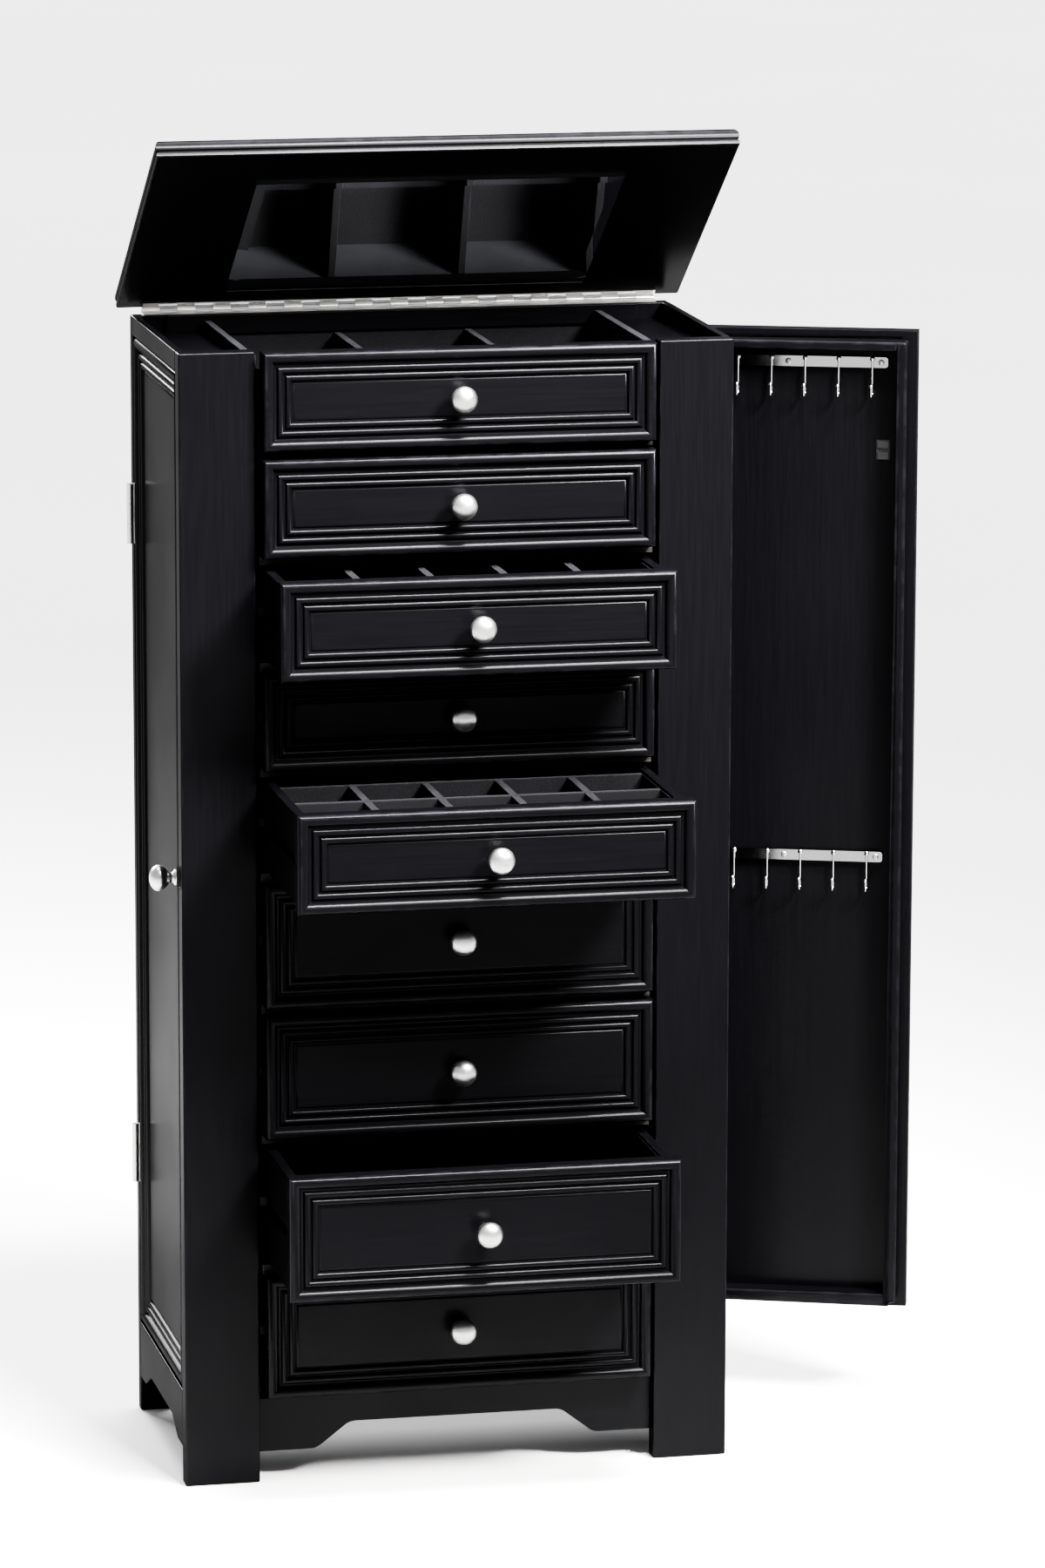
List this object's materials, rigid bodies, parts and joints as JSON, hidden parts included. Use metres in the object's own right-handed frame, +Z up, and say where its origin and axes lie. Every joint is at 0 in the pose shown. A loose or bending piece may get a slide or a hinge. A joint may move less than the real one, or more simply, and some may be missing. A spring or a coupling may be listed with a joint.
{
  "type": "jewelry armoire",
  "caption": "Slim upright storage chest with a lift-top mirrored tray, a stack of moulded drawers and two side doors with hook racks.",
  "frame": {"origin": "on the floor, under the centre of the closed body's footprint", "axes": "+Z up, -Y out of the drawer fronts, +X towards the right-hand side door as seen from the front"},
  "size_m": [0.7158, 0.4563, 1.1766],
  "materials": {
    "black_lacquer": "satin black lacquer on wood and fibreboard",
    "inner_wood": "matt black stained wood",
    "felt": "short black felt",
    "satin_nickel": "satin nickel plate",
    "mirror": "silvered glass",
    "catch_plastic": "black magnetic catch"
  },
  "bodies": {
    "cabinet": {"front_columns": "black_lacquer", "back_posts": "black_lacquer", "side_top_rails": "black_lacquer", "side_aprons": "black_lacquer", "front_apron": "black_lacquer", "partitions": "black_lacquer", "back_panel": "black_lacquer", "back_rail": "black_lacquer", "bottom_board": "black_lacquer", "tray_floors": "felt", "tray_dividers": "felt", "top_false_front": "black_lacquer", "top_false_front_knob": "satin_nickel", "drawer_rails": "inner_wood", "drawer_guides": "inner_wood", "lid_hinge_cabinet_leaf": "satin_nickel", "door_hinge_cabinet_leaves": "satin_nickel", "hinge_pins": "satin_nickel", "door_catches": "catch_plastic"},
    "lid": {"lid_board": "black_lacquer", "lid_mirror": "mirror", "lid_hinge_lid_leaf": "satin_nickel"},
    "left_door": {"left_door_board": "black_lacquer", "left_door_tray_rim": "black_lacquer", "left_door_hook_racks": "satin_nickel", "left_door_knob": "satin_nickel", "left_door_hinge_leaves": "satin_nickel", "left_door_strike_plate": "satin_nickel"},
    "right_door": {"right_door_board": "black_lacquer", "right_door_tray_rim": "black_lacquer", "right_door_hook_racks": "satin_nickel", "right_door_knob": "satin_nickel", "right_door_hinge_leaves": "satin_nickel", "right_door_strike_plate": "satin_nickel"},
    "drawer_2": {"drawer_2_front": "black_lacquer", "drawer_2_box": "black_lacquer", "drawer_2_knob": "satin_nickel"},
    "drawer_3": {"drawer_3_front": "black_lacquer", "drawer_3_box": "black_lacquer", "drawer_3_knob": "satin_nickel", "drawer_3_dividers": "felt"},
    "drawer_4": {"drawer_4_front": "black_lacquer", "drawer_4_box": "black_lacquer", "drawer_4_knob": "satin_nickel"},
    "drawer_5": {"drawer_5_front": "black_lacquer", "drawer_5_box": "black_lacquer", "drawer_5_knob": "satin_nickel", "drawer_5_dividers": "felt"},
    "drawer_6": {"drawer_6_front": "black_lacquer", "drawer_6_box": "black_lacquer", "drawer_6_knob": "satin_nickel"},
    "drawer_7": {"drawer_7_front": "black_lacquer", "drawer_7_box": "black_lacquer", "drawer_7_knob": "satin_nickel"},
    "drawer_8": {"drawer_8_front": "black_lacquer", "drawer_8_box": "black_lacquer", "drawer_8_knob": "satin_nickel"},
    "drawer_9": {"drawer_9_front": "black_lacquer", "drawer_9_box": "black_lacquer", "drawer_9_knob": "satin_nickel"}
  },
  "joints": [
    {"name": "lid_hinge", "type": "hinge", "parent": "cabinet", "child": "lid", "pos_m": [0, 0.1316, 1.002], "axis": [-1, 0, 0], "range_deg": [-35, 63]},
    {"name": "right_door_hinge", "type": "hinge", "parent": "cabinet", "child": "right_door", "pos_m": [0.2464, 0.11375, 0.534], "axis": [0, 0, 1], "range_deg": [-70, 35]},
    {"name": "left_door_hinge", "type": "hinge", "parent": "cabinet", "child": "left_door", "pos_m": [-0.2464, 0.11375, 0.534], "axis": [0, 0, -1], "range_deg": [0, 105]},
    {"name": "drawer_2_slide", "type": "slide", "parent": "cabinet", "child": "drawer_2", "axis": [0, -1, 0], "range_m": [0, 0.172]},
    {"name": "drawer_3_slide", "type": "slide", "parent": "cabinet", "child": "drawer_3", "axis": [0, -1, 0], "range_m": [-0.08, 0.092]},
    {"name": "drawer_4_slide", "type": "slide", "parent": "cabinet", "child": "drawer_4", "axis": [0, -1, 0], "range_m": [0, 0.172]},
    {"name": "drawer_5_slide", "type": "slide", "parent": "cabinet", "child": "drawer_5", "axis": [0, -1, 0], "range_m": [-0.155, 0.017]},
    {"name": "drawer_6_slide", "type": "slide", "parent": "cabinet", "child": "drawer_6", "axis": [0, -1, 0], "range_m": [0, 0.172]},
    {"name": "drawer_7_slide", "type": "slide", "parent": "cabinet", "child": "drawer_7", "axis": [0, -1, 0], "range_m": [0, 0.172]},
    {"name": "drawer_8_slide", "type": "slide", "parent": "cabinet", "child": "drawer_8", "axis": [0, -1, 0], "range_m": [-0.11, 0.062]},
    {"name": "drawer_9_slide", "type": "slide", "parent": "cabinet", "child": "drawer_9", "axis": [0, -1, 0], "range_m": [0, 0.172]}
  ]
}
